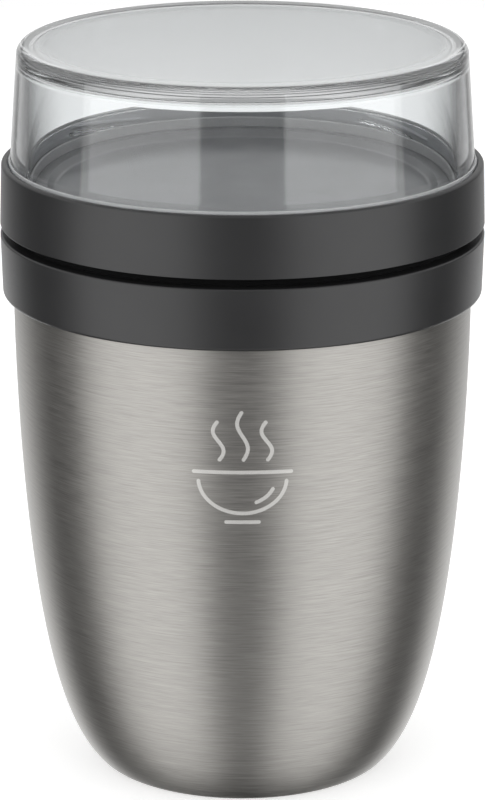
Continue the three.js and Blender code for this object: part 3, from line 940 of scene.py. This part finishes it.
CUP_CEILING = 161.0
CUP_TOP = 164.6
CUP_RIM = 134.1
CUP_RIM_ROUND = 0.3
CUP_BORE = 47.7
CUP_BORE_TOP = 46.9
CUP_BORE_EDGE = 1.8
CUP_BORE_ROUND = 0.2
CUP_THREAD_RADIUS = 50.65
CUP_FLANGE = 51.45
CUP_FLANGE_LOW = 138.1
CUP_FLANGE_HIGH = 138.9
FLANGE_ROOT = 0.1
FLANGE_LOW_ROUND = 0.15
FLANGE_HIGH_ROUND = 0.2
CUP_RADIUS = 51.1
CUP_TOP_RADIUS = 49.3
CUP_EDGE = 2.3
CUP_STEPS = 360
CUP_RIDGE_START = 134.75
CUP_RIDGE_ARC = 22 / 360
CUP_RIDGE_CREST = 0.68
CUP_RIDGE_DROP = 1.3  # the cup's ridges run this far below the lip's
CUP_PLAIN_LOW = 0.4  # the threaded rows start this far above the rim
CUP_PLAIN_HIGH = 0.2  # and end this far below the flange
CUP_SEAL_INNER = 46.64
CUP_SEAL_OUTER = 50.35
CUP_SEAL_LEG = 47.32
CUP_SEAL_TOP = 135.6
CUP_SEAL_ROUND = 0.25
CUP_SEAL_LEG_ROUND = 0.2
CUP_SEAL_TOP_ROUND = 0.3
CUP_TINT = 0.98, 0.995, 1, 1
CUP_IOR = 1.49
CLEARNESS = 0.98
RIM_HAZE = 0.5
RIM_HAZE_RADII = CUP_BORE_TOP - 4.0, CUP_BORE_TOP - 1.6
RIM_HAZE_HEIGHTS = CUP_TOP - 0.2, CUP_TOP - 0.02
FLANGE_HAZE = 0.38
FLANGE_HAZE_RADII = CUP_RADIUS + 0.02, CUP_RADIUS + 0.1
FLANGE_HAZE_LOW = CUP_FLANGE_LOW - 0.05

cup_seal = set_hard(turned_piece("cup_seal", [
    (CUP_SEAL_INNER, CHANNEL, BREAK),
    (CUP_SEAL_OUTER, CHANNEL, CUP_SEAL_ROUND),
    (CUP_SEAL_OUTER, CUP_RIM, CUP_SEAL_ROUND),
    (CUP_SEAL_LEG, CUP_RIM, BREAK),
    (CUP_SEAL_LEG, CUP_SEAL_TOP, CUP_SEAL_LEG_ROUND),
    (CUP_SEAL_INNER, CUP_SEAL_TOP, CUP_SEAL_TOP_ROUND),
], rubber))
hand_over(cup_seal, "dome_seal", "silicone", "dome_gasket")


def clear_plastic():
    """Polished clear plastic, uneven as moulded, a little hazy on the edge of its top and its flange."""
    finish, tree, shader = new_finish(
        "clear_plastic", Base_Color=CUP_TINT, Roughness=0.0, IOR=CUP_IOR)
    math_of = sums(tree)
    radius = math_of("DIVIDE", from_axis(tree), MM)
    height = math_of("DIVIDE", wired(tree, "ShaderNodeSeparateXYZ", on_piece(tree))["Z"], MM)
    outward = spread(tree, radius, 0.0, 1.0, *RIM_HAZE_RADII)
    upward = spread(tree, height, 0.0, 1.0, *RIM_HAZE_HEIGHTS)
    on_rim = math_of("MULTIPLY", outward, upward)
    standing_out = spread(tree, radius, 0.0, 1.0, *FLANGE_HAZE_RADII)
    over_threads = math_of("GREATER_THAN", height, FLANGE_HAZE_LOW)
    on_flange = math_of("MULTIPLY", standing_out, over_threads)
    rim_haze = math_of("MULTIPLY", on_rim, RIM_HAZE)
    haze = math_of("MAXIMUM", rim_haze, math_of("MULTIPLY", on_flange, FLANGE_HAZE))
    feed(tree, shader, Transmission_Weight=math_of("SUBTRACT", CLEARNESS, haze))
    raised(tree, shader, grain(tree, scale=45, detail=1.0), depth=0.002)
    return finish


cup_inside = rounded([
    (0, CUP_CEILING),
    (CUP_BORE_TOP, CUP_CEILING, CUP_BORE_EDGE),
    (CUP_BORE, CUP_RIM, CUP_BORE_ROUND),
    (CUP_THREAD_RADIUS, CUP_RIM, CUP_RIM_ROUND),
    (CUP_THREAD_RADIUS, CUP_FLANGE_LOW),
])[:-1]
cup_outside = rounded([
    (CUP_THREAD_RADIUS, CUP_RIM),
    (CUP_THREAD_RADIUS, CUP_FLANGE_LOW, FLANGE_ROOT),
    (CUP_FLANGE, CUP_FLANGE_LOW, FLANGE_LOW_ROUND),
    (CUP_FLANGE, CUP_FLANGE_HIGH, FLANGE_HIGH_ROUND),
    (CUP_RADIUS, CUP_FLANGE_HIGH, FLANGE_ROOT),
    (CUP_TOP_RADIUS, CUP_TOP, CUP_EDGE),
    (0, CUP_TOP),
])[1:]
cup_thread_low = CUP_RIM + CUP_PLAIN_LOW
cup_thread_top = CUP_FLANGE_LOW - CUP_PLAIN_HIGH
cup_points, cup_marks = threaded_outline([
    (cup_inside, False),
    (((CUP_THREAD_RADIUS, cup_thread_low), (CUP_THREAD_RADIUS, cup_thread_top)), True),
    (cup_outside, False),
])
cup_angle = LIP_RIDGE_ANGLE + (CUP_RIDGE_START + CUP_RIDGE_DROP - LIP_RIDGE_START) / THREAD_LEAD
cup = set_hard(turned_piece(
    "clear_cup_wall", cup_points, clear_plastic(), closed=False, steps=CUP_STEPS, threaded=cup_marks,
    threads=ridges(CUP_RIDGE_START, cup_angle, CUP_RIDGE_ARC, CUP_RIDGE_CREST)))
hand_over(cup, "dome", "clear_plastic", "clear_cup")

# Floor, light and camera
# A pale paper floor that keeps the pot's shadow, in a studio with two tall soft boxes beside the
# camera, a white wall behind and a bright ceiling. Clear plastic is seen against a white sheet with a
# dark flag on either side, which draw its edges. Metal sees the studio instead of the floor.

FLOOR_RADIUS = 0.9
FLOOR_SIDES = 64
FLOOR_COLOUR = 0.8
FLOOR_GLOW = 0.52
SOFT_BOX = 1.7
WHITE_WALL = 0.9
GAP = 0.17  # between the soft boxes, where the camera stands
SHADE = 0.045  # between a soft box and the wall
CEILING = 0.8
SKY = 0.75
FLAG = 0.25
EDGE_LIGHT = 0.75  # share left of the light that ran along inside the cup's rim
# Angles round the pot are measured from the camera, alike on both sides.
BOX_NEAR = 20.4, 21.6  # in degrees, as the next two
BOX_FAR = 84.5, 86.5
WALL_EDGE = 122, 146
AHEAD = math.radians(21)
BESIDE = math.radians(88)
BEHIND = math.radians(117)
BACKDROP = math.radians(157), math.radians(172)
FLAG_EDGE = math.radians(126), math.radians(142)
# Heights are those of a direction's end on a sphere of radius 1.
STEEL_ENDS = -0.264, -0.25
FOOT_ENDS = -0.7, -0.4
LOW_EDGE = -1.0, -0.85
HIGH_EDGE = 0.55, 0.62
DIM_START = 0.1, 0.165
DIM_END = 0.18, 0.26
DIM = 0.27
SKY_EDGE = 0.0, 0.08
FILL_ENDS = -0.9, -0.35
UNDER_REAR = -0.85, -0.6
WALL_SHIFT = math.radians(17)
FOOT_SHIFT = math.radians(12)
WALL_GAIN = 1.9
FLOOR_FILL = 0.26
LIGHT_BOUNCES = 24
CAMERA_PLACE = 0, -0.86310, 0.33804
CAMERA_TILT = math.radians(73.537)
LENS = 180.86
SENSOR = 36

turns = [math.tau * i / FLOOR_SIDES for i in range(FLOOR_SIDES)]
rim = [(FLOOR_RADIUS * math.cos(turn), FLOOR_RADIUS * math.sin(turn), 0) for turn in turns]
floor_mesh = bpy.data.meshes.new("floor")
floor_mesh.from_pydata(rim, [], [list(range(FLOOR_SIDES))])
floor = bpy.data.objects.new("floor", floor_mesh)
bpy.context.scene.collection.objects.link(floor)

paper, tree, shader = new_finish(
    "pale_floor", Base_Color=(FLOOR_COLOUR,) * 3 + (1,), Roughness=0.9, Emission_Color=(1, 1, 1, 1))
math_of = sums(tree)
path = wired(tree, "ShaderNodeLightPath")
glow = math_of("MAXIMUM", path["Is Camera Ray"], path["Is Transmission Ray"])
feed(tree, shader, Emission_Strength=math_of("MULTIPLY", glow, FLOOR_GLOW))
clear = wired(tree, "ShaderNodeBsdfTransparent")[0]
under = wired(tree, "ShaderNodeNewGeometry")["Backfacing"]
see_past = math_of("MAXIMUM", under, path["Is Glossy Ray"])
mixed = wired(tree, "ShaderNodeMixShader", see_past, shader.outputs[0], clear)[0]
tree.links.new(mixed, tree.nodes["Material Output"].inputs["Surface"])
floor_mesh.materials.append(paper)


def between(tree, share, first, second):
    """A number between two: the first at a share of 0 and the second at 1."""
    return wired(tree, "ShaderNodeMix", share, None, first, second)[0]


world = bpy.data.worlds.new("studio")
world.use_nodes = True
bpy.context.scene.world = world
tree = world.node_tree
math_of = sums(tree)
path = wired(tree, "ShaderNodeLightPath")
x, y, z = wired(tree, "ShaderNodeSeparateXYZ", wired(tree, "ShaderNodeTexCoord")["Generated"])
round_pot = math_of("ARCTAN2", math_of("ABSOLUTE", x), math_of("MULTIPLY", y, -1.0))
ahead = math_of("LESS_THAN", round_pot, AHEAD)
beside = math_of("GREATER_THAN", round_pot, BESIDE)
behind = math_of("GREATER_THAN", round_pot, BEHIND)

# The wall's edge stands further round for what lies above the steel's reflections, and at its foot.
in_clear = math_of("GREATER_THAN", path["Transmission Depth"], 0.5)
upper = math_of("MAXIMUM", spread(tree, z, 0.0, 1.0, *STEEL_ENDS), in_clear)
upper_shift = math_of("MULTIPLY", upper, WALL_SHIFT)
shift = math_of("ADD", upper_shift, spread(tree, z, FOOT_SHIFT, 0.0, *FOOT_ENDS))
shifted = math_of("SUBTRACT", round_pot, math_of("MULTIPLY", behind, shift))
side = wired(tree, "ShaderNodeValToRGB", math_of("DIVIDE", shifted, math.pi))[0]
stops = side.node.color_ramp.elements
angles = 0, *BOX_NEAR, *BOX_FAR, *WALL_EDGE
levels = GAP, GAP, SOFT_BOX, SOFT_BOX, SHADE, SHADE, WHITE_WALL
while len(stops) < len(levels):
    stops.new(1.0)
for stop, degrees, level in zip(stops, angles, levels):
    stop.position = degrees / 180
    stop.color = (level, level, level, 1)

# Light from the sky, more light on the low wall, and the floor's light in front.
sky = spread(tree, z, 0.0, SKY, *SKY_EDGE)
above = math_of("MAXIMUM", side, math_of("MULTIPLY", sky, beside))
wall_gain = spread(tree, upper, WALL_GAIN, 1.0, 0.0, 1.0)
gained = between(tree, behind, above, math_of("MULTIPLY", above, wall_gain))
floor_fill = spread(tree, z, FLOOR_FILL, 0.0, *FILL_ENDS)
filled = math_of("ADD", gained, math_of("MULTIPLY", ahead, floor_fill))

# The studio darkens behind the foot, in a band of the wall and straight below, and ends in the ceiling.
under_rear = spread(tree, z, 0.0, 1.0, *UNDER_REAR)
shaded_rear = between(tree, behind, filled, math_of("MULTIPLY", filled, under_rear))
dimmed = math_of("MULTIPLY", behind, spread(tree, z, 0.0, 1.0, *DIM_START))
band = between(tree, dimmed, 1.0, spread(tree, z, DIM, 1.0, *DIM_END))
lit = math_of("MULTIPLY", shaded_rear, band)
low_edge = eased(tree, z, 0.0, 1.0, *LOW_EDGE)
high_edge = eased(tree, z, 0.0, 1.0, *HIGH_EDGE)
studio = between(tree, high_edge, math_of("MULTIPLY", lit, low_edge), CEILING)

# Light that ran along inside the cup's rim comes out weaker.
in_and_out = math_of("COMPARE", path["Transmission Depth"], 2.0, 0.5)
piped = math_of("MULTIPLY", in_and_out, math_of("GREATER_THAN", path["Glossy Depth"], 1.5))
weakened = math_of("MULTIPLY", studio, between(tree, piped, 1.0, EDGE_LIGHT))

# Straight through clear plastic the white sheet and the flags show, and past the pot plain white.
turned_aside = math_of("ADD", path["Glossy Depth"], path["Diffuse Depth"])
straight = math_of("LESS_THAN", turned_aside, 0.5)
through = math_of("MULTIPLY", path["Is Transmission Ray"], straight)
sheet_edge = spread(tree, round_pot, FLAG, 1.0, *BACKDROP)
flag_edge = spread(tree, round_pot, 1.0, FLAG, *FLAG_EDGE)
seen_through = between(tree, through, weakened, math_of("MAXIMUM", sheet_edge, flag_edge))
shown = between(tree, path["Is Camera Ray"], seen_through, 1.0)
background = tree.nodes["Background"]
background.inputs["Color"].default_value = (1, 1, 1, 1)
tree.links.new(shown, background.inputs["Strength"])

camera = bpy.data.objects.new("camera", bpy.data.cameras.new("camera"))
bpy.context.scene.collection.objects.link(camera)
bpy.context.scene.camera = camera
camera.location = CAMERA_PLACE
camera.rotation_euler = (CAMERA_TILT, 0, 0)
camera.data.sensor_width = SENSOR
camera.data.lens = LENS

bpy.context.scene.view_settings.view_transform = "Standard"
bpy.context.scene.cycles.max_bounces = LIGHT_BOUNCES
bpy.context.scene.cycles.glossy_bounces = LIGHT_BOUNCES
bpy.context.scene.cycles.transmission_bounces = LIGHT_BOUNCES
